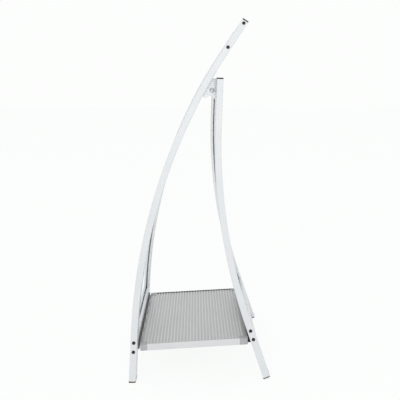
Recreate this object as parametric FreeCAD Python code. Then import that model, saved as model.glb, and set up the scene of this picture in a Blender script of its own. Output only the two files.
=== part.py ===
import FreeCAD, Part
import math
import os

os.makedirs("parts", exist_ok=True)
V = FreeCAD.Vector

# Folding step stool with a tall bent handle frame. All sizes in millimetres.
# X runs from the front frame (negative) to the rear frame (positive), Y across,
# Z up from the floor. Angles are leans from the vertical, positive towards +X.

# Leg tube: an open channel with its slot turned to the middle of the stool.
outer_width = 428.0
leg_face = 25.0
leg_depth = 40.0
leg_wall = 2.0
leg_corner = 3.0
slot_width = 6.0

# Front leg, from the floor up: straight, long bend, straight.
bend_radius = 2078.8
front_lean = 2.24
front_straight = 171.1
front_top_lean = 33.2
front_top_straight = 144.5

# Rear leg, bent with the same rolls. It ends a little above the pivot.
rear_lean = -18.85
rear_straight = 224.0
rear_top_lean = 2.25
rear_leg_above_pivot = 48.0

# Pivot between the two frames and its distance from each leg's side.
pivot_height = 1084.1
pivot_to_front_leg = 22.2
pivot_to_rear_leg = 15.0

# End pieces of the tubes.
cap_thickness = 5.0
cap_plug = 4.0
cap_round = 0.8
front_foot_height = 5.0
rear_foot_height = 4.0
foot_plug = 14.0
foot_floor = 2.0
foot_rim = 0.5
foot_round = 1.2
plug_clearance = 0.15
plug_hollow_face = 12.0
plug_hollow_depth = 28.0

# Button-head screws.
screw_head = 13.4
screw_head_height = 3.4
screw_socket = 4.0
screw_shank = 5.5
screw_reach = 64.0
screw_hole_clearance = 0.2
thread_clearance = 0.03

# Crossbars and the two round rails at the top.
bar_height = 70.0
bar_wall = 2.0
bar_corner = 2.5
bar_room_corner = 1.0
bar_web = 1.8
port_diameter = 10.0
front_bar_along = 130.7
rear_bar_along = 175.8
bar_screw_spacing = 34.0
rail_diameter = 24.0
rail_wall = 2.0
upper_rail_below_top = 15.0
rail_spacing = 108.0

# Hinge rail on the front crossbar, with its pin and knuckles.
hinge_rail_thickness = 5.0
hinge_rail_round = 1.2
hinge_rail_height = 37.0
hinge_rail_bottom = -31.0
hinge_rail_end_gap = 1.0
hinge_axis_height = -7.2
knuckle_diameter = 6.4
knuckle_count = 11
knuckle_gap = 0.3
knuckle_to_rail = 0.4
leaf_end_gap = 1.0
pin_diameter = 4.0
pin_snug = 0.02
pin_running = 0.08

# Standing platform.
platform_tilt = 2.14
platform_inset = 24.0
platform_thickness = 23.2
platform_start = 0.2
lip_rise = 1.6
lip_edge = 0.8
platform_rear_gap = 7.0
leaf_thickness = 4.0
hook_thickness = 4.0
deck_skin = 2.0
deck_web = 2.0
deck_bays = 6
rib_pitch = 12.5
rib_width = 6.5
rib_top_width = 5.3
rib_height = 1.8
plain_band = 7.0
lip_wall = 3.0
lip_flange = 12.0
lip_flange_thickness = 2.0
corner_cap_wall = 2.5
corner_cap_depth = 18.0
front_corner_length = 26.0
rear_corner_length = 32.0
front_corner_round = 4.0
rear_corner_round = 9.0
corner_cap_round = 0.8
corner_cap_edge = 1.0
rear_strip_round = 1.5

# Ledge on the rear crossbar that carries the platform.
ledge_thickness = 6.0
ledge_top = 1.0
ledge_flange = 3.0
ledge_joint = 12.0
ledge_rest_gap = 0.3
toe_thickness = 3.0
toe_height = 4.0
toe_clearance = 2.0

# Pivot plates and bolt.
plate_thickness = 3.0
pivot_washer = 0.9
pivot_washer_diameter = 20.0
pivot_running = 0.1
pivot_head = 21.0
pivot_head_height = 5.0
pivot_shank = 8.0
pivot_shank_clearance = 0.06
pivot_nut_height = 5.0
pivot_nut_across = 13.0
plate_top = 46.0
front_lug_radius = 13.5
low_lug_radius = 12.0
low_lug_drop = 16.0
low_lug_from_leg = 8.8
plate_side_gap = 1.0
rear_plate_reach = 6.0
pad_setback = 6.0
recess_length = 9.0
recess_width = 2.2
recess_depth = 2.5
bolt_end = 1.5
rear_lug_radius = 16.0
rear_plate_bottom = -42.0
max_swing = 12.0

half_face = leg_face / 2
inner_y = outer_width / 2 - leg_depth
leg_y = -(outer_width / 2 - leg_depth / 2)


class LegPath:
    """Centre line of one leg in the side view."""

    def __init__(self, foot_x, lean, straight, top_lean, top_straight):
        self.foot_x = foot_x
        self.lean = math.radians(lean)
        self.straight = straight
        self.top_lean = math.radians(top_lean)
        self.bend = bend_radius * (self.top_lean - self.lean)
        self.length = straight + self.bend + top_straight
        start_x = foot_x + straight * math.sin(self.lean)
        start_z = straight * math.cos(self.lean)
        self.centre_x = start_x + bend_radius * math.cos(self.lean)
        self.centre_z = start_z - bend_radius * math.sin(self.lean)

    def at(self, along):
        """Position and lean at a distance along the leg from the floor."""
        if along <= self.straight:
            x = self.foot_x + along * math.sin(self.lean)
            return x, along * math.cos(self.lean), self.lean
        lean = self.lean + min(along - self.straight, self.bend) / bend_radius
        rest = max(along - self.straight - self.bend, 0.0)
        x = self.centre_x - bend_radius * math.cos(lean) + rest * math.sin(lean)
        z = self.centre_z + bend_radius * math.sin(lean) + rest * math.cos(lean)
        return x, z, lean

    def reach(self, height):
        """Distance along the leg at which it passes a height."""
        low = 0.0
        high = self.length
        while high - low > 1e-6:
            middle = (low + high) / 2
            if self.at(middle)[1] < height:
                low = middle
            else:
                high = middle
        return low

    def place(self, along, y=0.0):
        """Frame with x across the leg, y as the stool's Y, z up the leg."""
        x, z, lean = self.at(along)
        return FreeCAD.Placement(V(x, y, z), FreeCAD.Rotation(V(0, 1, 0), math.degrees(lean)))


def placed(shape, placement):
    copy = shape.copy()
    copy.Placement = placement.multiply(copy.Placement)
    return copy


def rounded_face(width, depth, radii):
    """Face in the XY plane, centred, with a radius for each corner from ++ round to +-."""
    signs = [(1, 1), (-1, 1), (-1, -1), (1, -1)]
    arcs = []
    for i, (sx, sy) in enumerate(signs):
        centre = V(sx * (width / 2 - radii[i]), sy * (depth / 2 - radii[i]), 0)
        arcs.append(Part.makeCircle(radii[i], centre, V(0, 0, 1), i * 90, i * 90 + 90))
    edges = []
    for i in range(4):
        edges.append(arcs[i])
        start = arcs[i].Vertexes[-1].Point
        end = arcs[(i + 1) % 4].Vertexes[0].Point
        edges.append(Part.makeLine(start, end))
    return Part.Face(Part.Wire(edges))


def rectangle(x0, x1, y0, y1):
    return Part.makePlane(x1 - x0, y1 - y0, V(x0, y0, 0))


def disc(radius, x=0.0, y=0.0):
    return Part.Face(Part.Wire(Part.makeCircle(radius, V(x, y, 0))))


def along_y(face, half_length):
    """Stand a face drawn in XY up in XZ and draw it out across the stool."""
    upright = face.copy()
    upright.rotate(V(0, 0, 0), V(1, 0, 0), 90)
    upright.translate(V(0, -half_length, 0))
    return upright.extrude(V(0, 2 * half_length, 0))


def box(x0, x1, y0, y1, z0, z1):
    return Part.makeBox(x1 - x0, y1 - y0, z1 - z0, V(x0, y0, z0))


def pin_y(diameter, y0, y1, x=0.0, z=0.0):
    return Part.makeCylinder(diameter / 2, y1 - y0, V(x, y0, z), V(0, 1, 0))


def mirrored(shape):
    return shape.mirror(V(0, 0, 0), V(0, 1, 0))


pieces = {}


def add(name, shape):
    pieces[name] = shape


def add_pair(name, near):
    pieces[name + "_near"] = near
    pieces[name + "_far"] = mirrored(near)


# The front leg's foot sits at a fixed place. The pivot lies beside the front leg,
# and the rear leg is moved along X until its side has its distance from the pivot.
front_path = LegPath(0.0, front_lean, front_straight, front_top_lean, front_top_straight)
pivot_along = front_path.reach(pivot_height)
for step in range(20):
    fx, fz, pivot_lean = front_path.at(pivot_along)
    rise = fz - (half_face + pivot_to_front_leg) * math.sin(pivot_lean)
    pivot_along += (pivot_height - rise) / math.cos(pivot_lean)
pivot_x = fx + (half_face + pivot_to_front_leg) * math.cos(pivot_lean)
pivot_z = rise
rear_path = LegPath(0.0, rear_lean, rear_straight, rear_top_lean, pivot_height)
rear_top_end = rear_path.reach(pivot_z + rear_leg_above_pivot)
rear_top_straight = rear_top_end - rear_path.straight - rear_path.bend
rear_x, rear_z, rear_pivot_lean = rear_path.at(rear_path.reach(pivot_z))
rear_foot_x = pivot_x + (half_face + pivot_to_rear_leg) / math.cos(rear_pivot_lean) - rear_x
rear_path = LegPath(rear_foot_x, rear_lean, rear_straight, rear_top_lean, rear_top_straight)


# Legs.
channel = rounded_face(leg_face, leg_depth, [leg_corner] * 4)
inner_round = max(leg_corner - leg_wall, 0.5)
hollow = rounded_face(leg_face - 2 * leg_wall, leg_depth - 2 * leg_wall, [inner_round] * 4)
channel = channel.cut(hollow)
channel = channel.cut(rectangle(-slot_width / 2, slot_width / 2, 0, leg_depth)).Faces[0]


def up_the_leg(lean):
    return V(math.sin(lean), 0, math.cos(lean))


def leg_tube(path, start, end):
    """Near leg: the channel drawn along the lower straight, the bend and the top."""
    lower = placed(channel, path.place(start, leg_y))
    lower = lower.extrude(up_the_leg(path.lean) * (path.straight - start))
    bend_start = placed(channel, path.place(path.straight, leg_y))
    centre = V(path.centre_x, 0, path.centre_z)
    bend_angle = math.degrees(path.top_lean - path.lean)
    bend = bend_start.revolve(centre, V(0, 1, 0), bend_angle)
    bend_end = path.straight + path.bend
    upper = placed(channel, path.place(bend_end, leg_y))
    upper = upper.extrude(up_the_leg(path.top_lean) * (end - bend_end))
    return lower.fuse([bend, upper]).removeSplitter()


def screw_holes(leg, path, positions):
    """Clearance holes through the outer wall of a near leg."""
    for along in positions:
        size = screw_shank + 2 * screw_hole_clearance
        hole = pin_y(size, -leg_depth, -leg_wall)
        leg = leg.cut(placed(hole, path.place(along, leg_y)))
    return leg


half_spacing = bar_screw_spacing / 2
front_bar_screws = [front_bar_along - half_spacing, front_bar_along + half_spacing]
rear_bar_screws = [rear_bar_along - half_spacing, rear_bar_along + half_spacing]
upper_rail = front_path.length - upper_rail_below_top
lower_rail = upper_rail - rail_spacing

front_leg = leg_tube(front_path, front_foot_height, front_path.length - cap_thickness)
front_leg = screw_holes(front_leg, front_path, front_bar_screws + [lower_rail, upper_rail])
add_pair("front_leg", front_leg)

# The rear foot is cut square, so its inner edge alone reaches the floor.
foot_half = half_face + foot_rim
rear_foot_start = foot_half * math.tan(abs(rear_path.lean))
rear_leg_start = rear_foot_start + rear_foot_height
rear_leg = leg_tube(rear_path, rear_leg_start, rear_path.length - cap_thickness)
rear_leg = screw_holes(rear_leg, rear_path, rear_bar_screws)
add_pair("rear_leg", rear_leg)


# Caps and feet, each with a plug that fits the channel.
plug_face = rounded_face(leg_face - 2 * (leg_wall + plug_clearance),
                         leg_depth - 2 * (leg_wall + plug_clearance), [inner_round] * 4)


def top_cap(path):
    disc_face = rounded_face(leg_face, leg_depth, [leg_corner] * 4)
    plate = disc_face.extrude(V(0, 0, cap_thickness))
    rim = [e for e in plate.Edges if e.CenterOfMass.z > cap_thickness - 0.01]
    plate = plate.makeFillet(cap_round, rim)
    plug = plug_face.extrude(V(0, 0, -cap_plug))
    return placed(plate.fuse(plug), path.place(path.length - cap_thickness, leg_y))


def foot(path, start, height, flat):
    """Foot under a leg; a flat foot is trimmed level with the floor."""
    outline = rounded_face(leg_face + 2 * foot_rim, leg_depth + 2 * foot_rim,
                           [leg_corner + foot_rim] * 4)
    below = foot_half if flat else 0.0
    pad = outline.extrude(V(0, 0, height + below))
    pad.translate(V(0, 0, -below))
    pad = placed(pad, path.place(start, leg_y))
    if flat:
        floor = box(path.foot_x - leg_depth, path.foot_x + leg_depth, 2 * leg_y, 0, -leg_depth, 0)
        pad = pad.cut(floor)
        rim = [e for e in pad.Edges if e.BoundBox.ZMax < 0.01]
    else:
        end = path.at(start)
        axis = up_the_leg(end[2])
        base = V(end[0], leg_y, end[1])
        rim = [e for e in pad.Edges if abs((e.CenterOfMass - base).dot(axis)) < 0.01]
    pad = pad.makeFillet(foot_round, rim)
    plug = placed(plug_face.extrude(V(0, 0, foot_plug)), path.place(start + height, leg_y))
    hollow_face = rounded_face(plug_hollow_face, plug_hollow_depth, [inner_round] * 4)
    hole = placed(hollow_face.extrude(V(0, 0, foot_plug)),
                  path.place(start + height + foot_floor, leg_y))
    return pad.fuse(plug).cut(hole).removeSplitter()


add_pair("front_cap", top_cap(front_path))
add_pair("rear_cap", top_cap(rear_path))
add_pair("front_foot", foot(front_path, 0.0, front_foot_height, True))
add_pair("rear_foot", foot(rear_path, rear_foot_start, rear_foot_height, False))


# Screws, drawn with the underside of the head at y = 0 and the shank towards +Y.
def hexagon(across, depth):
    corner = across / math.sqrt(3)
    points = [V(corner * math.cos(math.radians(60 * i)), 0, corner * math.sin(math.radians(60 * i)))
              for i in range(7)]
    return Part.Face(Part.makePolygon(points)).extrude(V(0, depth, 0))


def button_screw(reach):
    ball = (screw_head ** 2 / 4 + screw_head_height ** 2) / (2 * screw_head_height)
    head = Part.makeSphere(ball, V(0, ball - screw_head_height, 0))
    head = head.common(pin_y(2 * ball, -2 * ball, 0))
    socket = hexagon(screw_socket, screw_head_height * 0.6)
    socket.translate(V(0, -screw_head_height, 0))
    return head.cut(socket).fuse(pin_y(screw_shank, 0, reach))


def add_screws(name, path, positions):
    for place_name, along in positions:
        screw = placed(button_screw(screw_reach), path.place(along, -outer_width / 2))
        add_pair(name + place_name, screw)


add_screws("top_screw_", front_path, [("lower", lower_rail), ("upper", upper_rail)])
add_screws("front_screw_", front_path, list(zip(("lower", "upper"), front_bar_screws)))
add_screws("rear_screw_", rear_path, list(zip(("lower", "upper"), rear_bar_screws)))


# Crossbars: a tall hollow section with a web, two screw ports and a slotted top.
def crossbar_section():
    section = rounded_face(leg_face, bar_height, [bar_corner] * 4)
    room_x = leg_face - 2 * bar_wall
    room_z = bar_height - 2 * bar_wall
    room = rounded_face(room_x, room_z, [bar_room_corner] * 4)
    room = room.cut(rectangle(-room_x / 2, room_x / 2, -bar_web / 2, bar_web / 2))
    for z in (-half_spacing, half_spacing):
        room = room.cut(rectangle(-room_x / 2, room_x / 2, z - bar_web / 2, z + bar_web / 2))
        room = room.cut(disc(port_diameter / 2, 0, z))
    section = section.cut(room)
    for z in (-half_spacing, half_spacing):
        section = section.cut(disc(screw_shank / 2 + thread_clearance, 0, z))
    slot = rectangle(-slot_width / 2, slot_width / 2, room_z / 2 - bar_wall, bar_height)
    return section.cut(slot).Faces[0]


bar = along_y(crossbar_section(), inner_y)
add("front_crossbar", placed(bar, front_path.place(front_bar_along)))
add("rear_crossbar", placed(bar, rear_path.place(rear_bar_along)))


# Round rails between the tops of the front legs, with one port on three webs.
def rail_section():
    ring_inside = rail_diameter / 2 - rail_wall
    room = disc(ring_inside).cut(disc(port_diameter / 2))
    for i in range(3):
        web = rectangle(0, ring_inside, -bar_web / 2, bar_web / 2)
        web.rotate(V(0, 0, 0), V(0, 0, 1), 90 + 120 * i)
        room = room.cut(web)
    section = disc(rail_diameter / 2).cut(room)
    return section.cut(disc(screw_shank / 2 + thread_clearance)).Faces[0]


rail = along_y(rail_section(), inner_y)
add("top_rail_upper", placed(rail, front_path.place(upper_rail)))
add("top_rail_lower", placed(rail, front_path.place(lower_rail)))


# Hinge rail with every second knuckle of the hinge, in the front bar's own frame.
knuckle_radius = knuckle_diameter / 2
hinge_face_x = half_face + hinge_rail_thickness
axis_x = hinge_face_x + knuckle_radius + knuckle_to_rail
hinge_rail_half = inner_y - hinge_rail_end_gap
half_width = outer_width / 2 - platform_inset
cap_inner_y = half_width - corner_cap_depth
hinge_half = min(hinge_rail_half, cap_inner_y) - leaf_end_gap
knuckle_pitch = 2 * hinge_half / knuckle_count


def knuckle(index, bore):
    """One barrel of the hinge about the origin, and the Y range it fills."""
    y0 = -hinge_half + index * knuckle_pitch + knuckle_gap / 2
    y1 = y0 + knuckle_pitch - knuckle_gap
    return pin_y(knuckle_diameter, y0, y1), pin_y(pin_diameter + 2 * bore, y0, y1), y0, y1


rail_plate = box(half_face, hinge_face_x, -hinge_rail_half, hinge_rail_half,
                 hinge_rail_bottom, hinge_rail_bottom + hinge_rail_height)
long_edges = [e for e in rail_plate.Edges if e.Length > hinge_rail_half
              and e.CenterOfMass.x > hinge_face_x - 0.1]
hinge_rail = rail_plate.makeFillet(hinge_rail_round, long_edges)
for i in range(0, knuckle_count, 2):
    barrel, bore, y0, y1 = knuckle(i, pin_snug)
    neck = box(half_face - axis_x, 0, y0, y1, -knuckle_radius, knuckle_radius)
    joined = barrel.fuse(neck).cut(bore)
    joined.translate(V(axis_x, 0, hinge_axis_height))
    hinge_rail = hinge_rail.fuse(joined)
front_bar_place = front_path.place(front_bar_along)
add("hinge_rail", placed(hinge_rail.removeSplitter(), front_bar_place))
pin = pin_y(pin_diameter, -hinge_half, hinge_half, axis_x, hinge_axis_height)
add("hinge_pin", placed(pin, front_bar_place))

# Platform, in a frame with its origin on the hinge axis and x along the deck.
axis_point = front_bar_place.multVec(V(axis_x, 0, hinge_axis_height))
platform_place = FreeCAD.Placement(axis_point, FreeCAD.Rotation(V(0, 1, 0), -platform_tilt))
tilt = math.radians(platform_tilt)
platform_top = knuckle_radius
platform_bottom = platform_top - platform_thickness
slope = math.tan(rear_path.lean)
leg_side_x = rear_foot_x - half_face / math.cos(rear_path.lean)
top_z = axis_point.z + platform_top * math.cos(tilt)
platform_end = leg_side_x + top_z * slope - platform_rear_gap - axis_point.x
platform_end += platform_top * math.sin(tilt)
platform_end /= math.cos(tilt) - slope * math.sin(tilt)
deck_x0 = platform_start + leaf_thickness
deck_x1 = platform_end - hook_thickness
deck_top = platform_top - lip_rise
deck_half = half_width - lip_wall
deck_bottom = platform_bottom + lip_flange_thickness
leaf_half = hinge_half
front_cap_end = platform_start + front_corner_length
rear_cap_start = platform_end - rear_corner_length


def deck_outline():
    """Section of the deck: ribs along the top, webs and walls below."""
    base = deck_top - rib_height
    slant = (rib_width - rib_top_width) / 2
    points = [V(deck_x0, base, 0)]
    count = int((deck_x1 - deck_x0 - 2 * plain_band - rib_width) / rib_pitch) + 1
    first = deck_x0 + plain_band
    for i in range(count):
        x = first + i * rib_pitch
        points += [V(x, base, 0), V(x + slant, deck_top, 0)]
        points += [V(x + rib_width - slant, deck_top, 0), V(x + rib_width, base, 0)]
    points += [V(deck_x1, base, 0), V(deck_x1, deck_bottom, 0)]
    bay = (deck_x1 - deck_x0 - deck_web) / deck_bays
    for i in range(deck_bays):
        right = deck_x1 - deck_web - i * bay
        left = right - bay + deck_web
        points += [V(right, deck_bottom, 0), V(right, base - deck_skin, 0)]
        points += [V(left, base - deck_skin, 0), V(left, deck_bottom, 0)]
    points += [V(deck_x0, deck_bottom, 0), V(deck_x0, base, 0)]
    return Part.Face(Part.makePolygon(points))


deck = along_y(deck_outline(), deck_half)
for x0, x1 in ((platform_start, front_cap_end), (rear_cap_start, platform_end)):
    for side in (-1, 1):
        y0, y1 = sorted((side * cap_inner_y, side * half_width))
        deck = deck.cut(box(x0, x1, y0, y1, platform_bottom, platform_top))
add("deck", placed(deck, platform_place))

# Lips close the two ribbed ends of the deck and carry it on a flange.
lip_points = [(-half_width, platform_bottom), (-half_width, platform_top - lip_edge),
              (-half_width + lip_edge, platform_top), (-deck_half, platform_top),
              (-deck_half, deck_bottom), (-deck_half + lip_flange, deck_bottom),
              (-deck_half + lip_flange, platform_bottom), (-half_width, platform_bottom)]
lip_face = Part.Face(Part.makePolygon([V(front_cap_end, y, z) for y, z in lip_points]))
lip = lip_face.extrude(V(rear_cap_start - front_cap_end, 0, 0))
add_pair("lip", placed(lip, platform_place))


# Corner caps: hollow mouldings open below, the rear ones well rounded.
def corner_cap(x0, x1, radii):
    length = x1 - x0
    outline = rounded_face(length, corner_cap_depth, radii)
    middle = V((x0 + x1) / 2, -(half_width + cap_inner_y) / 2, platform_bottom)
    body = outline.extrude(V(0, 0, platform_thickness))
    top = [e for e in body.Edges if e.BoundBox.ZMin > platform_thickness - 0.01]
    body = body.makeFillet(corner_cap_round, top)
    room_radii = [max(r - corner_cap_wall, corner_cap_edge / 2) for r in radii]
    room = rounded_face(length - 2 * corner_cap_wall, corner_cap_depth - 2 * corner_cap_wall,
                        room_radii)
    room = room.extrude(V(0, 0, platform_thickness - corner_cap_wall))
    body = body.cut(room)
    body.translate(middle)
    return placed(body, platform_place)


edge = corner_cap_edge
add_pair("front_corner", corner_cap(platform_start, front_cap_end,
                                    [edge, edge, front_corner_round, edge]))
add_pair("rear_corner", corner_cap(rear_cap_start, platform_end,
                                   [edge, edge, edge, rear_corner_round]))

# Hinge leaf at the front end of the deck, cut away round the rail's knuckles.
leaf = box(platform_start, deck_x0, -leaf_half, leaf_half, platform_bottom, deck_top)
for i in range(knuckle_count):
    barrel, bore, y0, y1 = knuckle(i, pin_running)
    if i % 2:
        leaf = leaf.fuse(barrel).cut(bore)
    else:
        reach = knuckle_radius + knuckle_to_rail
        leaf = leaf.cut(box(-reach, reach, y0 - knuckle_gap, y1 + knuckle_gap, -reach, reach))
add("hinge_leaf", placed(leaf.removeSplitter(), platform_place))

# Strip at the rear end of the deck that drops in behind the ledge's toe.
hook = box(deck_x1, platform_end, -leaf_half, leaf_half, platform_bottom, deck_top)
top_rear = [e for e in hook.Edges if e.Length > leaf_half
            and e.CenterOfMass.x > platform_end - 0.1 and e.CenterOfMass.z > 0]
add("rear_strip", placed(hook.makeFillet(rear_strip_round, top_rear), platform_place))

# Ledge: a plate on the rear crossbar, a flange under the deck and an upturned toe.
rear_bar_place = rear_path.place(rear_bar_along)
to_bar = rear_bar_place.inverse().multiply(platform_place)
flange_z1 = platform_bottom - ledge_rest_gap
flange_z0 = flange_z1 - ledge_flange
toe_x1 = deck_x1 - deck_web - toe_clearance
toe_x0 = toe_x1 - toe_thickness
flange_end = to_bar.inverse().multVec(V(-half_face - ledge_thickness / 2, 0, -bar_height / 2)).x
flange = box(toe_x0, flange_end + ledge_joint, -hinge_rail_half, hinge_rail_half,
             flange_z0, flange_z1)
toe = box(toe_x0, toe_x1, -hinge_half, hinge_half, flange_z0, flange_z1 + toe_height)
shelf = placed(flange.fuse(toe), to_bar)
plate_low = to_bar.multVec(V(flange_end + ledge_thickness / 2, 0, flange_z0)).z
plate = box(-half_face - ledge_thickness, -half_face, -hinge_rail_half, hinge_rail_half,
            plate_low, ledge_top)
beyond = box(-half_face, bar_height, -inner_y, inner_y, -2 * bar_height, 0)
shelf = shelf.cut(beyond)
ledge = plate.fuse(shelf).removeSplitter()
add("rear_ledge", placed(ledge, rear_bar_place))

# Pivot plates, drawn in the side view about the pivot.
pivot_place = FreeCAD.Placement(V(pivot_x, 0, pivot_z), FreeCAD.Rotation())


def side_face(points):
    return Part.Face(Part.makePolygon([V(x, 0, z) for x, z in points]))


def front_leg_x(height):
    """X of the front leg's centre line relative to the pivot, at a height above it."""
    return front_path.at(front_path.reach(pivot_z + height))[0] - pivot_x


def tangent_angle(x, z, radius, side):
    """Angle on a circle about the pivot where a line from a point touches it."""
    return math.atan2(z, x) + side * math.acos(radius / math.hypot(x, z))


def arc_points(centre_x, centre_z, radius, start, end, steps=12):
    """Points along an arc from one angle to another, both ends included."""
    angles = [start + (end - start) * i / steps for i in range(steps + 1)]
    return [(centre_x + radius * math.cos(a), centre_z + radius * math.sin(a)) for a in angles]


# Front plate: a lug round the pivot and a lower one beside the leg, joined by a
# tangent. Above the pivot its edge keeps clear of the rear leg when that is swung out.
swung = math.radians(rear_top_lean - max_swing)
swung_side = pivot_to_rear_leg / math.cos(swung) - plate_side_gap
top_right = (swung_side + plate_top * math.tan(swung), plate_top)
front_side = front_leg_x(-low_lug_drop) + half_face / math.cos(pivot_lean)
lug_x = front_side + low_lug_from_leg
lug_z = -low_lug_drop
lug_start = math.radians(-150)
heading = math.atan2(-lug_z, -lug_x)
turn = math.acos((low_lug_radius - front_lug_radius) / math.hypot(lug_x, lug_z))
lug_end = heading - turn
lug_low_z = lug_z + low_lug_radius * math.sin(lug_start)
front_points = [top_right, (front_leg_x(plate_top), plate_top),
                (front_leg_x(lug_low_z), lug_low_z)]
front_points += arc_points(lug_x, lug_z, low_lug_radius, lug_start, lug_end)
front_points += arc_points(0, 0, front_lug_radius, lug_end,
                           tangent_angle(top_right[0], top_right[1], front_lug_radius, -1))
front_points.append(top_right)
front_plate = side_face(front_points).extrude(V(0, plate_thickness, 0))
front_plate = front_plate.cut(pin_y(pivot_shank + 2 * pin_snug, 0, plate_thickness))
plate_y = -inner_y
front_plate.translate(V(0, plate_y, 0))
add_pair("front_plate", placed(front_plate, pivot_place))

rear_plate_y = plate_y + plate_thickness + pivot_washer + pivot_running


rear_side = pivot_to_rear_leg + leg_face
rear_top_x = rear_side + plate_top * math.tan(rear_path.top_lean) - leg_wall
rear_low_x = rear_side + rear_plate_bottom * math.tan(rear_path.top_lean) - leg_wall
top_left = (-rear_plate_reach, plate_top)
low_left = (pivot_to_rear_leg + leg_wall, rear_plate_bottom)
start_angle = tangent_angle(top_left[0], top_left[1], rear_lug_radius, 1)
end_angle = tangent_angle(low_left[0], low_left[1], rear_lug_radius, -1) + 2 * math.pi
rear_points = [(rear_low_x, rear_plate_bottom), (rear_top_x, plate_top), top_left]
rear_points += arc_points(0, 0, rear_lug_radius, start_angle, end_angle)
rear_points += [low_left, rear_points[0]]
rear_plate = side_face(rear_points).extrude(V(0, plate_thickness, 0))
rear_bore = pivot_shank + 2 * pivot_shank_clearance
rear_plate = rear_plate.cut(pin_y(rear_bore, 0, plate_thickness))
rear_plate.translate(V(0, rear_plate_y, 0))
add_pair("rear_plate", placed(rear_plate, pivot_place))

# Pad that holds the rear plate off the rear leg.
pad_low = rear_path.reach(pivot_z + rear_plate_bottom + pad_setback)
pad_high = rear_path.reach(pivot_z + plate_top - pad_setback)
pad = box(-half_face + leg_corner, half_face - leg_corner, plate_y, rear_plate_y,
          0, pad_high - pad_low)
add_pair("rear_spacer", placed(pad, rear_path.place(pad_low)))

# Pivot bolt with a cross recess, its washer and its nut.
dome = (pivot_head ** 2 / 4 + pivot_head_height ** 2) / (2 * pivot_head_height)
bolt = Part.makeSphere(dome, V(0, dome - pivot_head_height, 0)).common(pin_y(2 * dome, -2 * dome, 0))
for turn in (0, 90):
    groove = box(-recess_length / 2, recess_length / 2, -2 * pivot_head_height,
                 recess_depth - pivot_head_height, -recess_width / 2, recess_width / 2)
    groove.rotate(V(0, 0, 0), V(0, 1, 0), 45 + turn)
    bolt = bolt.cut(groove)
nut_y = rear_plate_y + plate_thickness + pivot_running
bolt = bolt.fuse(pin_y(pivot_shank, 0, nut_y + pivot_nut_height + bolt_end - plate_y))
bolt.translate(V(0, plate_y, 0))
add_pair("pivot_bolt", placed(bolt, pivot_place))
washer = pin_y(pivot_washer_diameter, 0, pivot_washer)
washer = washer.cut(pin_y(pivot_shank + 2 * pin_snug, 0, pivot_washer))
washer.translate(V(0, plate_y + plate_thickness, 0))
add_pair("pivot_washer", placed(washer, pivot_place))
nut = hexagon(pivot_nut_across, pivot_nut_height)
nut = nut.cut(pin_y(pivot_shank + 2 * pin_snug, 0, pivot_nut_height))
nut.translate(V(0, nut_y, 0))
add_pair("pivot_nut", placed(nut, pivot_place))

# Move the stool so that its middle along X is the origin, then write every piece.
boxes = [shape.optimalBoundingBox(False, False) for shape in pieces.values()]
middle_x = (min(b.XMin for b in boxes) + max(b.XMax for b in boxes)) / 2
for name, shape in pieces.items():
    shape.translate(V(-middle_x, 0, 0))
    shape.exportStep("parts/" + name + ".step")

print("pieces", len(pieces), "height", round(max(b.ZMax for b in boxes), 2))
print("pivot", round(pivot_x - middle_x, 3), round(pivot_z, 3))
print("hinge axis", round(axis_point.x - middle_x, 3), round(axis_point.z, 3))
print("front foot", round(-middle_x, 3), "rear foot", round(rear_foot_x - middle_x, 3))
print("platform end", round(platform_end, 3))
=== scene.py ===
# %% [markdown]
# # A folding step stool with a tall bent handle frame
# The stool is built from extruded aluminium: two channel legs a side, hollow crossbars
# and a ribbed deck, joined by black plastic and steel hardware. The solids come ready
# from the construction model, so this lesson is about finishes, small dressed pieces,
# light and the camera.

# %% Load the frame
import math
import bpy
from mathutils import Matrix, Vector


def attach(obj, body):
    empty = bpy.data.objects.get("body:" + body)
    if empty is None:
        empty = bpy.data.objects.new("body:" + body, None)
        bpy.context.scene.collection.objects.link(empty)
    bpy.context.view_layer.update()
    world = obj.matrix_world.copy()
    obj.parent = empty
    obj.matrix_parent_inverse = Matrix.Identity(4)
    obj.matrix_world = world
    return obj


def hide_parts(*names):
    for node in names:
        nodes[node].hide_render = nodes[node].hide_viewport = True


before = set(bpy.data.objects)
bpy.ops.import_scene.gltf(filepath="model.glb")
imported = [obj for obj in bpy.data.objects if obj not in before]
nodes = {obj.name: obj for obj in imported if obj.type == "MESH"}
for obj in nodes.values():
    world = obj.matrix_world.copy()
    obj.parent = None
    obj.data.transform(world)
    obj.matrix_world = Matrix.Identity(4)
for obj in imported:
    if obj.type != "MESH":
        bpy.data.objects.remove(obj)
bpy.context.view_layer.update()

# %% [markdown]
# ## Camera
# The photograph was taken level, from a little over a metre up and about a metre and a
# half in front of the near legs, with the picture shifted down so that the feet fit.
# A level camera with a lens shift keeps uprights parallel, which tilting would not.

# %% Place the camera
CAMERA_PLACE = (-0.0174, -1.706, 1.099)
CAMERA_YAW = 2.1
LEVEL = math.radians(90)
LENS = 36.0
SENSOR = 36.0
SHIFT_ACROSS, SHIFT_DOWN = -0.0243, -0.2838
FARTHEST = 50.0
camera_data = bpy.data.cameras.new("camera")
camera_data.sensor_width = SENSOR
camera_data.lens = LENS
camera_data.shift_x = SHIFT_ACROSS
camera_data.shift_y = SHIFT_DOWN
camera_data.clip_end = FARTHEST
camera = bpy.data.objects.new("camera", camera_data)
camera.location = CAMERA_PLACE
camera.rotation_euler = (LEVEL, 0, -math.radians(CAMERA_YAW))
bpy.context.scene.collection.objects.link(camera)
bpy.context.scene.camera = camera
bpy.context.scene.view_settings.view_transform = "Standard"
print("camera at", CAMERA_PLACE, "yaw", CAMERA_YAW)

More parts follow.
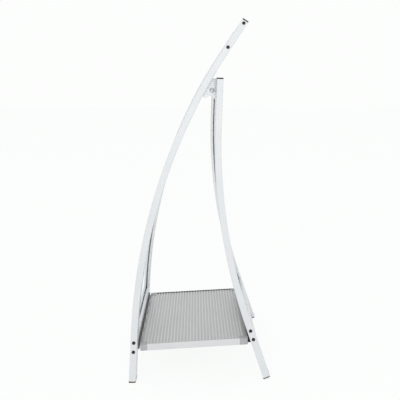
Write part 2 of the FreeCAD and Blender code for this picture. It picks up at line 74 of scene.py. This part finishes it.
# %% [markdown]
# ## Studio light
# Pale metal shows its shape by what it mirrors. A bright world gives the soft white of
# a light tent. A wide lamp behind the camera lights what faces it, and two smaller ones
# give the other faces a gentle difference in tone. The lamps are kept out of the
# reflections, where they would burn white patches into the pale metal.

# %% World and lamps
def add_node(tree, kind, **values):
    """Adds a shader node; values go to its attributes or, by name, to its inputs."""
    node = tree.nodes.new(kind)
    for key, value in values.items():
        if hasattr(node, key):
            setattr(node, key, value)
        else:
            node.inputs[key.replace("_", " ")].default_value = value
    return node


def seen_directly(tree):
    """One for rays from the camera and for mirrored ones, nothing for all others."""
    path = add_node(tree, "ShaderNodeLightPath")
    seen = add_node(tree, "ShaderNodeMath", operation="MAXIMUM")
    tree.links.new(path.outputs["Is Camera Ray"], seen.inputs[0])
    tree.links.new(path.outputs["Is Glossy Ray"], seen.inputs[1])
    return seen.outputs[0]


BACKDROP = (0.974, 0.985, 0.974, 1.0)
TENT_COLOUR = (0.96, 0.98, 1.0, 1.0)
TENT_STRENGTH = 0.68
world = bpy.data.worlds.new("studio")
bpy.context.scene.world = world
world.use_nodes = True
tree = world.node_tree
tree.nodes.clear()
lit = add_node(tree, "ShaderNodeBackground", Color=TENT_COLOUR, Strength=TENT_STRENGTH)
white = add_node(tree, "ShaderNodeBackground", Color=BACKDROP, Strength=1.0)
mix = add_node(tree, "ShaderNodeMixShader")
out = add_node(tree, "ShaderNodeOutputWorld")
tree.links.new(seen_directly(tree), mix.inputs[0])
tree.links.new(lit.outputs[0], mix.inputs[1])
tree.links.new(white.outputs[0], mix.inputs[2])
tree.links.new(mix.outputs[0], out.inputs[0])


def add_lamp(name, place, aim, size, power):
    """A large square area lamp aimed at a point."""
    data = bpy.data.lights.new(name, "AREA")
    data.size = size
    data.energy = power
    lamp = bpy.data.objects.new(name, data)
    lamp.location = place
    lamp.rotation_euler = (Vector(aim) - Vector(place)).to_track_quat("-Z", "Y").to_euler()
    lamp.visible_glossy = False
    bpy.context.scene.collection.objects.link(lamp)


add_lamp("front", place=(0.2, -5.0, 1.4), aim=(0, 0, 0.7), size=3.0, power=70)
add_lamp("key", place=(-2.4, -3.0, 3.6), aim=(0, 0, 0.6), size=2.4, power=14)
add_lamp("fill", place=(2.4, -1.2, 1.6), aim=(0, 0, 0.5), size=1.6, power=3)

# %% [markdown]
# ## Floor
# The photograph's floor is blown out to white. A plane that mostly glows where the camera
# or a mirroring surface sees it, and is matt for all other light, looks the same. The
# matt share that is left in view keeps a faint shadow.

# %% Lay the floor
FLOOR_SIZE = 30
FLOOR_PLACE = (0, 6, 0)
FLOOR_COLOUR = (0.86, 0.87, 0.86, 1.0)
GLOW_STRENGTH = 1.058
GLOW_SHARE = 0.86
bpy.ops.object.select_all(action="DESELECT")
bpy.ops.mesh.primitive_plane_add(size=FLOOR_SIZE, location=FLOOR_PLACE)
floor = bpy.context.object
floor.name = "floor"
floor_paint = bpy.data.materials.new("floor_paint")
floor_paint.use_nodes = True
tree = floor_paint.node_tree
tree.nodes.clear()
matt = add_node(tree, "ShaderNodeBsdfDiffuse", Color=FLOOR_COLOUR)
glow = add_node(tree, "ShaderNodeEmission", Color=BACKDROP, Strength=GLOW_STRENGTH)
share = add_node(tree, "ShaderNodeMath", operation="MULTIPLY")
share.inputs[1].default_value = GLOW_SHARE
mix = add_node(tree, "ShaderNodeMixShader")
out = add_node(tree, "ShaderNodeOutputMaterial")
tree.links.new(seen_directly(tree), share.inputs[0])
tree.links.new(share.outputs[0], mix.inputs[0])
tree.links.new(matt.outputs[0], mix.inputs[1])
tree.links.new(glow.outputs[0], mix.inputs[2])
tree.links.new(mix.outputs[0], out.inputs[0])
floor.data.materials.append(floor_paint)
print("floor", [round(v, 2) for v in floor.dimensions])

# %% [markdown]
# ## Shared effects
# Three effects come back in several finishes, so each is a node group with named
# sockets: faint lines that an extrusion die leaves, a fine cloudy grain, and rubbed
# edges. A group is built once and each material sets its own numbers.

# %% Group builder
def new_group(name, inputs, outputs):
    """An empty shader group with float, colour or vector sockets."""
    group = bpy.data.node_groups.new(name, "ShaderNodeTree")
    for label, kind, value in inputs:
        socket = group.interface.new_socket(label, in_out="INPUT", socket_type=kind)
        socket.default_value = value
    for label, kind in outputs:
        group.interface.new_socket(label, in_out="OUTPUT", socket_type=kind)
    return group, group.nodes.new("NodeGroupInput"), group.nodes.new("NodeGroupOutput")


FLOAT = "NodeSocketFloat"
VECTOR = "NodeSocketVector"

# %% [markdown]
# ### Rubbed edges
# Anodised or painted edges wear bright where hands and feet rub them. The bevel node
# looks round a corner, and where it disagrees with the true normal there is an edge. A
# coarse noise breaks the wear up into patches.

# %% Edge group
NO_EDGE, FULL_EDGE = 0.995, 0.86
RUBBED_FROM, RUBBED_TO = 0.42, 0.62
edge_group, source, sink = new_group(
    "rubbed_edges", [("Width", FLOAT, 0.001), ("Patchiness", FLOAT, 30.0)],
    [("Mask", FLOAT), ("Normal", VECTOR)])
coords = add_node(edge_group, "ShaderNodeTexCoord")
bevel = add_node(edge_group, "ShaderNodeBevel", samples=4)
geometry = add_node(edge_group, "ShaderNodeNewGeometry")
dot = add_node(edge_group, "ShaderNodeVectorMath", operation="DOT_PRODUCT")
patches = add_node(edge_group, "ShaderNodeTexNoise", Detail=3.0)
ramp = add_node(edge_group, "ShaderNodeMapRange")
ramp.inputs["From Min"].default_value = NO_EDGE
ramp.inputs["From Max"].default_value = FULL_EDGE
spots = add_node(edge_group, "ShaderNodeMapRange")
spots.inputs["From Min"].default_value = RUBBED_FROM
spots.inputs["From Max"].default_value = RUBBED_TO
both = add_node(edge_group, "ShaderNodeMath", operation="MULTIPLY")
link = edge_group.links.new
link(source.outputs["Width"], bevel.inputs["Radius"])
link(bevel.outputs["Normal"], dot.inputs[0])
link(geometry.outputs["Normal"], dot.inputs[1])
link(dot.outputs["Value"], ramp.inputs["Value"])
link(coords.outputs["Object"], patches.inputs["Vector"])
link(source.outputs["Patchiness"], patches.inputs["Scale"])
link(patches.outputs["Fac"], spots.inputs["Value"])
link(ramp.outputs["Result"], both.inputs[0])
link(spots.outputs["Result"], both.inputs[1])
link(both.outputs[0], sink.inputs["Mask"])
link(bevel.outputs["Normal"], sink.inputs["Normal"])
print("group", edge_group.name)

# %% [markdown]
# ### Die lines
# An extrusion is drawn through a die, which leaves hair lines along its length. The bent
# legs turn about a far centre, so lines that stay at one distance from that centre run
# along the leg; a crossbar's lines run across the stool instead.

# %% Line group
line_group, source, sink = new_group(
    "die_lines", [("Across", VECTOR, (0, 0, 0)), ("Fineness", FLOAT, 900.0)],
    [("Value", FLOAT)])
stretch = add_node(line_group, "ShaderNodeVectorMath", operation="SCALE")
lines = add_node(line_group, "ShaderNodeTexNoise", Detail=2.0, Scale=1.0)
link = line_group.links.new
link(source.outputs["Across"], stretch.inputs[0])
link(source.outputs["Fineness"], stretch.inputs["Scale"])
link(stretch.outputs["Vector"], lines.inputs["Vector"])
link(lines.outputs["Fac"], sink.inputs["Value"])
print("group", line_group.name)

# %% [markdown]
# ### Cloudy grain
# Moulded plastic, rubber and powder coat are never one even tone. Two sizes of noise give
# a fine grain for the bump and a slow cloud for tone and roughness.

# %% Grain group
grain_group, source, sink = new_group(
    "cloudy_grain", [("Grain Scale", FLOAT, 1200.0), ("Cloud Scale", FLOAT, 9.0)],
    [("Grain", FLOAT), ("Cloud", FLOAT)])
coords = add_node(grain_group, "ShaderNodeTexCoord")
grain = add_node(grain_group, "ShaderNodeTexNoise", Detail=2.0)
cloud = add_node(grain_group, "ShaderNodeTexNoise", Detail=4.0)
link = grain_group.links.new
for noise, size, label in ((grain, "Grain Scale", "Grain"),
                           (cloud, "Cloud Scale", "Cloud")):
    link(coords.outputs["Object"], noise.inputs["Vector"])
    link(source.outputs[size], noise.inputs["Scale"])
    link(noise.outputs["Fac"], sink.inputs[label])
print("group", grain_group.name)


# %% [markdown]
# ### One finish from the three effects
# Every finish is the same recipe with other numbers: a cloudy tone between two colours,
# painted shade at a joint where asked, bright worn edges, and grain or die lines in the
# relief.

# %% Finish builder
MIX_FIRST, MIX_SECOND, MIX_RESULT = 6, 7, 2


def mix_colour(tree, factor, colour, other):
    """A colour mix with a linked factor and two plain colours or sockets."""
    node = tree.nodes.new("ShaderNodeMix")
    node.data_type = "RGBA"
    tree.links.new(factor, node.inputs["Factor"])
    for value, slot in ((colour, MIX_FIRST), (other, MIX_SECOND)):
        if isinstance(value, tuple):
            node.inputs[slot].default_value = value
        else:
            tree.links.new(value, node.inputs[slot])
    return node.outputs[MIX_RESULT]


def map_range(tree, value, low, high):
    """Maps a value from 0..1 to low..high."""
    node = tree.nodes.new("ShaderNodeMapRange")
    node.inputs["To Min"].default_value = low
    node.inputs["To Max"].default_value = high
    tree.links.new(value, node.inputs["Value"])
    return node.outputs["Result"]


def place_group(tree, group, **values):
    """Puts a shader group into a material and sets its numbers by name."""
    node = tree.nodes.new("ShaderNodeGroup")
    node.node_tree = group
    for key, value in values.items():
        node.inputs[key.replace("_", " ")].default_value = value
    return node


# Colour of the painted shade along the joint between each lip and the deck.
PAINTED_JOINT_SHADE = (0.085, 0.080, 0.075, 1.0)
RELIEF = 0.0002


def finish(name, colour, dark, worn, metal, rough, grain_scale, bump, edge, across=None,
           fineness=900.0, tone=None, painted_joint_shade=None):
    """A finish with cloudy tone, grain or die lines in its bump, and rubbed edges."""
    material = bpy.data.materials.new(name)
    material.use_nodes = True
    tree = material.node_tree
    tree.nodes.clear()
    shader = tree.nodes.new("ShaderNodeBsdfPrincipled")
    output = tree.nodes.new("ShaderNodeOutputMaterial")
    tree.links.new(shader.outputs[0], output.inputs[0])
    shader.inputs["Metallic"].default_value = metal
    grain = place_group(tree, grain_group, Grain_Scale=grain_scale)
    edges = place_group(tree, edge_group, Width=edge)
    factor = tone(tree, grain) if tone else grain.outputs["Cloud"]
    toned = mix_colour(tree, factor, colour, dark)
    # Painted shade, where asked: a joint mask darkens the toned colour.
    if painted_joint_shade:
        toned = mix_colour(tree, painted_joint_shade(tree), toned, PAINTED_JOINT_SHADE)
    rubbed = mix_colour(tree, edges.outputs["Mask"], toned, worn)
    tree.links.new(rubbed, shader.inputs["Base Color"])
    fine = grain.outputs["Grain"]
    if across:
        lines = place_group(tree, line_group, Fineness=fineness)
        tree.links.new(across(tree), lines.inputs["Across"])
        fine = lines.outputs["Value"]
    blend = tree.nodes.new("ShaderNodeMath")
    blend.operation = "MULTIPLY"
    tree.links.new(grain.outputs["Cloud"], blend.inputs[0])
    tree.links.new(fine, blend.inputs[1])
    roughness = map_range(tree, blend.outputs[0], rough[0], rough[1])
    tree.links.new(roughness, shader.inputs["Roughness"])
    relief = tree.nodes.new("ShaderNodeBump")
    relief.inputs["Strength"].default_value = bump
    relief.inputs["Distance"].default_value = RELIEF
    tree.links.new(fine, relief.inputs["Height"])
    tree.links.new(edges.outputs["Normal"], relief.inputs["Normal"])
    tree.links.new(relief.outputs["Normal"], shader.inputs["Normal"])
    print("finish", name, "colour", [round(c, 2) for c in colour[:3]])
    return material


def grey(level, tint=0.0):
    """A grey that leans to blue by its tint."""
    return (level, level * (1 + tint / 2), level * (1 + tint), 1.0)


# %% [markdown]
# ## Aluminium
# The legs, crossbars and rails are natural anodised: pale, satin, almost white in a light
# tent. The die lines need a direction, so each finish gets its own way to say what
# "across" is: the distance from the bend's centre for the legs, and for a straight piece
# its own place with the long direction almost switched off.

# %% Directions for the die lines
def around(centre_x, centre_z):
    """Across = distance from the bend's centre, and the position across the stool."""
    def build(tree):
        coords = tree.nodes.new("ShaderNodeTexCoord")
        split = tree.nodes.new("ShaderNodeSeparateXYZ")
        flat = tree.nodes.new("ShaderNodeCombineXYZ")
        away = tree.nodes.new("ShaderNodeVectorMath")
        away.operation = "DISTANCE"
        away.inputs[1].default_value = (centre_x, 0, centre_z)
        join = tree.nodes.new("ShaderNodeCombineXYZ")
        tree.links.new(coords.outputs["Object"], split.inputs[0])
        tree.links.new(split.outputs["X"], flat.inputs["X"])
        tree.links.new(split.outputs["Z"], flat.inputs["Z"])
        tree.links.new(flat.outputs[0], away.inputs[0])
        tree.links.new(away.outputs["Value"], join.inputs["X"])
        tree.links.new(split.outputs["Y"], join.inputs["Y"])
        return join.outputs[0]
    return build


def stretched(scale):
    """Across = the object's own place, with one direction almost switched off."""
    def build(tree):
        coords = tree.nodes.new("ShaderNodeTexCoord")
        mapping = tree.nodes.new("ShaderNodeMapping")
        mapping.inputs["Scale"].default_value = scale
        tree.links.new(coords.outputs["Object"], mapping.inputs["Vector"])
        return mapping.outputs[0]
    return build


# %% Tube and bar finishes
ALONG_Y = (1.0, 0.01, 1.0)
ALONG_X = (0.01, 1.0, 1.0)
FRONT_BEND = (1.8336, 0.0897)
REAR_BEND = (2.1477, 0.8836)
TUBE_WORN = grey(0.86)
TUBE_GRAIN = 900.0
TUBE_BUMP = 0.03
TUBE_EDGE = 0.0007
TUBE = grey(0.83, 0.035)
TUBE_DARK = grey(0.78, 0.045)
TUBE_ROUGH = (0.38, 0.56)
front_tube = finish("front_tube_aluminium", TUBE, TUBE_DARK, TUBE_WORN, metal=0.5,
                    rough=TUBE_ROUGH, grain_scale=TUBE_GRAIN, bump=TUBE_BUMP,
                    edge=TUBE_EDGE, across=around(*FRONT_BEND))
rear_tube = finish("rear_tube_aluminium", TUBE, TUBE_DARK, TUBE_WORN, metal=0.5,
                   rough=TUBE_ROUGH, grain_scale=TUBE_GRAIN, bump=TUBE_BUMP,
                   edge=TUBE_EDGE, across=around(*REAR_BEND))
bar_tube = finish("bar_aluminium", grey(0.83, 0.03), grey(0.78, 0.04), grey(0.82),
                  metal=0.5, rough=TUBE_ROUGH, grain_scale=TUBE_GRAIN, bump=0.10,
                  edge=TUBE_EDGE, across=stretched(ALONG_Y))

# %% [markdown]
# ### The joint between lip and deck
# Each lip stands a little above the deck, and painted shade darkens the corner between
# them. Distance from the stool's middle plane finds it on both pieces.

# %% Lip finish with painted shade at its joint
LIP_INSIDE = 0.187
JOINT_DECK = 0.0026
JOINT_LIP = 0.0003


def beyond_joint(limit, outside):
    """One on the side of a distance from the middle plane that the painted shade lies on.
    """
    def build(tree):
        coords = tree.nodes.new("ShaderNodeTexCoord")
        split = tree.nodes.new("ShaderNodeSeparateXYZ")
        away = add_node(tree, "ShaderNodeMath", operation="ABSOLUTE")
        kind = "GREATER_THAN" if outside else "LESS_THAN"
        step = add_node(tree, "ShaderNodeMath", operation=kind)
        step.inputs[1].default_value = limit
        tree.links.new(coords.outputs["Object"], split.inputs[0])
        tree.links.new(split.outputs["Y"], away.inputs[0])
        tree.links.new(away.outputs[0], step.inputs[0])
        return step.outputs[0]
    return build


# The lip gets painted shade on its inner side, at the joint with the deck.
lip_tube = finish("lip_aluminium", grey(0.78, 0.01), grey(0.72, 0.02), grey(0.90),
                  metal=0.55, rough=(0.32, 0.48), grain_scale=TUBE_GRAIN, bump=0.12,
                  edge=0.0006, across=stretched(ALONG_X),
                  painted_joint_shade=beyond_joint(LIP_INSIDE + JOINT_LIP, False))

# %% [markdown]
# ### The deck
# The deck is grey anodised, with painted shade that darkens the grooves below the tops of
# its ribs, and a random cloud of dust. The deck is tilted a little, so height is measured
# square to it, as the dot product of a point with the deck's own upward direction.

# %% Deck finish
DECK_AXIS = Vector((-0.224421, 0.0, 0.122581))
DECK_TILT = math.radians(2.14)
DECK_UP = Vector((-math.sin(DECK_TILT), 0.0, math.cos(DECK_TILT)))
DUST_LEAST, DUST_MOST = 0.05, 0.35
RIB_FOOT = -0.0004
RIB_TOP = 0.0014


def groove_shade_and_dust(tree, grain):
    """One in the grooves between the ribs and nearly none on top of them: painted shade,
    with a random cloud of dust over both.
    """
    coords = tree.nodes.new("ShaderNodeTexCoord")
    height = add_node(tree, "ShaderNodeVectorMath", operation="DOT_PRODUCT")
    height.inputs[1].default_value = DECK_UP
    # Painted shade: the lower a point lies between the ribs, the darker it gets.
    low = tree.nodes.new("ShaderNodeMapRange")
    low.inputs["From Min"].default_value = DECK_AXIS.dot(DECK_UP) + RIB_TOP
    low.inputs["From Max"].default_value = DECK_AXIS.dot(DECK_UP) + RIB_FOOT
    dust = map_range(tree, grain.outputs["Cloud"], DUST_LEAST, DUST_MOST)
    most = add_node(tree, "ShaderNodeMath", operation="MAXIMUM")
    tree.links.new(coords.outputs["Object"], height.inputs[0])
    tree.links.new(height.outputs["Value"], low.inputs["Value"])
    tree.links.new(low.outputs["Result"], most.inputs[0])
    tree.links.new(dust, most.inputs[1])
    return most.outputs[0]


DECK_ROUGH = (0.36, 0.54)
# The deck gets painted shade in its grooves and along its ends beside the lips.
deck_tube = finish("deck_aluminium", grey(0.71), grey(0.53), grey(0.76), metal=0.5,
                   rough=DECK_ROUGH, grain_scale=TUBE_GRAIN, bump=0.15, edge=0.0005,
                   across=stretched(ALONG_Y), tone=groove_shade_and_dust,
                   painted_joint_shade=beyond_joint(LIP_INSIDE - JOINT_DECK, True))
trim_tube = finish("deck_trim_aluminium", grey(0.58), grey(0.50), grey(0.68), metal=0.5,
                   rough=DECK_ROUGH, grain_scale=TUBE_GRAIN, bump=0.15, edge=0.0005,
                   across=stretched(ALONG_Y))

# %% [markdown]
# ## Paint, plastic, rubber and steel
# The pivot plates are powder coated, the corner caps are a grey moulding, the feet are a
# brown rubber, and the caps, the ledge and the screws are black. A black that still shows
# a sheen reads better than a pure one. The pivot bolts are plated.

# %% Other finishes
plate_paint = finish("white_powder_coat", grey(0.96, 0.01), grey(0.93, 0.01), grey(0.84),
                     metal=0.0, rough=(0.34, 0.50), grain_scale=1500.0, bump=0.25,
                     edge=0.0006)
corner_grey = finish("grey_moulding", grey(0.50), grey(0.46), grey(0.58), metal=0.0,
                     rough=(0.42, 0.60), grain_scale=1400.0, bump=0.35, edge=0.0010)
cap_black = finish("black_moulding", grey(0.016), grey(0.010), grey(0.04), metal=0.0,
                   rough=(0.46, 0.65), grain_scale=1600.0, bump=0.30, edge=0.0008)
foot_rubber = finish("foot_rubber", (0.150, 0.085, 0.075, 1), (0.110, 0.060, 0.055, 1),
                     (0.22, 0.15, 0.14, 1), metal=0.0, rough=(0.60, 0.82),
                     grain_scale=1100.0, bump=0.45, edge=0.0010)
RAIL_ROUGH = (0.40, 0.56)
black_rail = finish("black_anodised", grey(0.050, 0.02), grey(0.035, 0.02), grey(0.30),
                    metal=0.35, rough=RAIL_ROUGH, grain_scale=TUBE_GRAIN, bump=0.20,
                    edge=0.0006, across=stretched(ALONG_Y))
black_screw = finish("blackened_steel", grey(0.045, 0.02), grey(0.025, 0.02), grey(0.28),
                     metal=0.70, rough=(0.26, 0.46), grain_scale=1300.0, bump=0.15,
                     edge=0.0005)
bright_steel = finish("plated_steel", grey(0.80, 0.01), grey(0.72, 0.01), grey(0.86),
                      metal=0.85, rough=(0.34, 0.52), grain_scale=1300.0, bump=0.12,
                      edge=0.0005)

# %% [markdown]
# ### The hinge rail's barrels
# The rail is black, but its barrels turn against the deck's and have rubbed down to bare
# grey metal. The barrels stand in front of the rail's face, so a plane just ahead of that
# face divides the two tones.

# %% Hinge rail finish
RAIL_LEAN = math.radians(2.24)
RAIL_AHEAD = Vector((math.cos(RAIL_LEAN), 0.0, -math.sin(RAIL_LEAN)))
FACE_TO_AXIS = 0.0033


def behind_face(tree, grain):
    """One on the rail itself and nothing on its barrels."""
    coords = tree.nodes.new("ShaderNodeTexCoord")
    ahead = add_node(tree, "ShaderNodeVectorMath", operation="DOT_PRODUCT")
    ahead.inputs[1].default_value = RAIL_AHEAD
    edge = DECK_AXIS.dot(RAIL_AHEAD) - FACE_TO_AXIS
    step = add_node(tree, "ShaderNodeMath", operation="LESS_THAN")
    step.inputs[1].default_value = edge
    tree.links.new(coords.outputs["Object"], ahead.inputs[0])
    tree.links.new(ahead.outputs["Value"], step.inputs[0])
    return step.outputs[0]


hinge_black = finish("hinge_black_anodised", grey(0.34), grey(0.085, 0.02), grey(0.30),
                     metal=0.35, rough=RAIL_ROUGH, grain_scale=TUBE_GRAIN, bump=0.20,
                     edge=0.0006, across=stretched(ALONG_Y), tone=behind_face)

# %% [markdown]
# ## End caps
# A black plug closes the top end of each leg. It could be a plain slab, but light catches
# a moulding on its soft rim and in the ring round its middle. A block is rounded like the
# tube, bevelled along its rim, inset for the ring and drawn down into the plug.

# %% Helpers for edit mode
def only(obj):
    """Selects one object alone and makes it the active one."""
    bpy.ops.object.select_all(action="DESELECT")
    obj.select_set(True)
    bpy.context.view_layer.objects.active = obj


def block(name, width, depth, low, high):
    """A block round the tube's centre line, from one height to another."""
    bpy.ops.object.select_all(action="DESELECT")
    bpy.ops.mesh.primitive_cube_add(size=1, location=(0, 0, (low + high) / 2),
                                    scale=(width, depth, high - low))
    obj = bpy.context.object
    obj.name = name
    bpy.ops.object.transform_apply(location=True, rotation=True, scale=True)
    return obj


def pick(obj, kind, test):
    """In edit mode, selects those faces or edges of an object that pass a test."""
    bpy.ops.object.mode_set(mode="EDIT")
    bpy.ops.mesh.select_mode(type=kind)
    bpy.ops.mesh.select_all(action="DESELECT")
    bpy.ops.object.mode_set(mode="OBJECT")
    for part in obj.data.polygons if kind == "FACE" else obj.data.edges:
        part.select = test(part)
    bpy.ops.object.mode_set(mode="EDIT")


NEAR = 0.00001
UPRIGHT = 0.9
FLAT = 0.99


def is_upright(obj, edge):
    """True for an edge that runs up the block."""
    a, b = (obj.data.vertices[i].co for i in edge.vertices)
    return abs(a.z - b.z) > UPRIGHT * (a - b).length


def is_level(obj, edge, height):
    """True for an edge that lies at one height."""
    return all(abs(obj.data.vertices[i].co.z - height) < NEAR for i in edge.vertices)


# %% Helpers for moulded ends
CORNER_STEPS = 5
RIM_STEPS = 3
SMOOTH_ANGLE = math.radians(35)


def round_block(name, width, depth, low, high, corner):
    """A block whose upright edges are rounded like the tube's corners."""
    obj = block(name, width, depth, low, high)
    pick(obj, "EDGE", lambda e: is_upright(obj, e))
    bpy.ops.mesh.bevel(offset=corner, segments=CORNER_STEPS, affect="EDGES")
    return obj


def soften_rim(obj, height, size):
    """Rounds the rim that lies at one height."""
    pick(obj, "EDGE", lambda e: is_level(obj, e, height))
    bpy.ops.mesh.bevel(offset=size, segments=RIM_STEPS, affect="EDGES")


def pick_end(obj, upward):
    """Selects the flat face at the top or the bottom of a moulded end."""
    faces = obj.data.polygons
    bpy.ops.object.mode_set(mode="OBJECT")
    heights = [f.center.z for f in faces if abs(f.normal.z) > FLAT]
    end = max(heights) if upward else min(heights)
    pick(obj, "FACE", lambda f: abs(f.normal.z) > FLAT and abs(f.center.z - end) < NEAR)


MERGE = 0.0008


def ring_groove(margin, width, depth):
    """Presses a ring into the picked face; its round corners shrink to points and merge."""
    bpy.ops.mesh.inset(thickness=margin)
    bpy.ops.mesh.remove_doubles(threshold=MERGE)
    bpy.ops.mesh.inset(thickness=depth, depth=-depth)
    bpy.ops.mesh.inset(thickness=width)
    bpy.ops.mesh.inset(thickness=depth, depth=depth)


def draw_plug(margin, length):
    """Draws the picked face out into a plug that fits the tube's inside."""
    bpy.ops.mesh.inset(thickness=margin)
    bpy.ops.mesh.extrude_region_move(TRANSFORM_OT_translate={"value": (0, 0, length)})


def set_down(obj, lean, place):
    """Leans a moulded end with its leg, moves it to its place and applies both."""
    bpy.ops.object.mode_set(mode="OBJECT")
    only(obj)
    obj.rotation_euler = (0, lean, 0)
    obj.location = place
    bpy.ops.object.transform_apply(location=True, rotation=True, scale=True)


def mount_pair(obj, node, body, material, width):
    """Finishes the near piece, copies it to the far leg and puts both on their body."""
    bpy.ops.object.mode_set(mode="OBJECT")
    only(obj)
    bpy.ops.object.shade_smooth_by_angle(angle=SMOOTH_ANGLE)
    obj.data.materials.append(material)
    bpy.ops.object.duplicate(linked=False)
    far = bpy.context.object
    far.location = (0, 2 * width, 0)
    bpy.ops.object.transform_apply(location=True, rotation=True, scale=True)
    for piece, side in ((obj, "_near"), (far, "_far")):
        piece.name = node + "_moulded" + side
        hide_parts(node + side)
        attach(piece, body)
    print(node, "faces", len(obj.data.polygons))


# %% Mould the four top caps
LEG_FACE, LEG_DEPTH, LEG_CORNER = 0.025, 0.040, 0.003
LEG_Y = 0.194
WALL_AND_PLAY = 0.00215
CAP_THICK, CAP_PLUG = 0.005, 0.004
CAP_RIM = 0.0009
CAP_RING = {"margin": 0.0020, "width": 0.0008, "depth": 0.0004}
LEG_TOPS = [("front_cap", "front_frame", (0.173224, -LEG_Y, 1.348905), 33.2),
            ("rear_cap", "rear_frame", (0.077043, -LEG_Y, 1.1321), 2.25)]
for node, body, place, lean in LEG_TOPS:
    cap = round_block(node, LEG_FACE, LEG_DEPTH, -CAP_THICK, 0, LEG_CORNER)
    soften_rim(cap, 0, CAP_RIM)
    pick_end(cap, upward=True)
    ring_groove(**CAP_RING)
    pick_end(cap, upward=False)
    draw_plug(WALL_AND_PLAY, -CAP_PLUG)
    set_down(cap, math.radians(lean), place)
    mount_pair(cap, node, body, cap_black, LEG_Y)

# %% [markdown]
# ## Feet
# A rubbery foot closes each lower end. The front one leans with its leg but is level
# underneath, so a block that is too long is bisected at the floor. The rear one is cut
# square to its leg. A shallow groove underneath, a little way in, leaves a rim that grips.

# %% Mould the four feet
FOOT_RIM = 0.0005
FOOT_FACE, FOOT_DEPTH = LEG_FACE + 2 * FOOT_RIM, LEG_DEPTH + 2 * FOOT_RIM
FOOT_CORNER = LEG_CORNER + FOOT_RIM
PLUG_LENGTH = 0.014
SOLE_RIM = 0.0011
SOLE_RING = {"margin": 0.0022, "width": 0.0012, "depth": 0.0008}
LEG_ENDS = [("front_foot", "front_frame", (-0.250332, -LEG_Y, 0), 2.24, 0.005, True),
            ("rear_foot", "rear_frame", (0.251314, -LEG_Y, 0.0042), -18.85, 0.004, False)]
for node, body, place, lean, height, level in LEG_ENDS:
    below = FOOT_FACE / 2 if level else 0
    foot = round_block(node, FOOT_FACE, FOOT_DEPTH, -below, height, FOOT_CORNER)
    pick_end(foot, upward=True)
    draw_plug(WALL_AND_PLAY + FOOT_RIM, PLUG_LENGTH)
    if level:
        set_down(foot, math.radians(lean), place)
        bpy.ops.object.mode_set(mode="EDIT")
        bpy.ops.mesh.select_all(action="SELECT")
        bpy.ops.mesh.bisect(plane_co=(0, 0, 0), plane_no=(0, 0, 1), use_fill=True,
                            clear_inner=True)
    soften_rim(foot, 0, SOLE_RIM)
    pick_end(foot, upward=False)
    ring_groove(**SOLE_RING)
    if not level:
        set_down(foot, math.radians(lean), place)
    mount_pair(foot, node, body, foot_rubber, LEG_Y)

# %% [markdown]
# ## Dress the ready pieces
# Every other node keeps its shape and only swaps the material in its slots. The name says
# what it is, so a short list of name starts is enough.

# %% Assign the finishes
FINISHES = [
    (("front_leg", "top_rail"), front_tube), (("rear_leg",), rear_tube),
    (("front_crossbar", "rear_crossbar"), bar_tube), (("lip_",), lip_tube),
    (("deck",), deck_tube), (("front_corner", "rear_corner"), corner_grey),
    (("front_plate", "rear_plate", "rear_spacer"), plate_paint),
    (("front_cap", "rear_cap"), cap_black), (("front_foot", "rear_foot"), foot_rubber),
    (("hinge_leaf", "rear_strip"), trim_tube), (("hinge_rail",), hinge_black),
    (("rear_ledge",), black_rail),
    (("top_screw", "front_screw", "rear_screw"), black_screw),
    (("pivot_", "hinge_pin"), bright_steel)]
for name, obj in nodes.items():
    for starts, material in FINISHES:
        if name.startswith(starts):
            for slot in obj.material_slots:
                slot.material = material
            break
    else:
        print("no finish for", name)
print("dressed", len(nodes), "nodes")
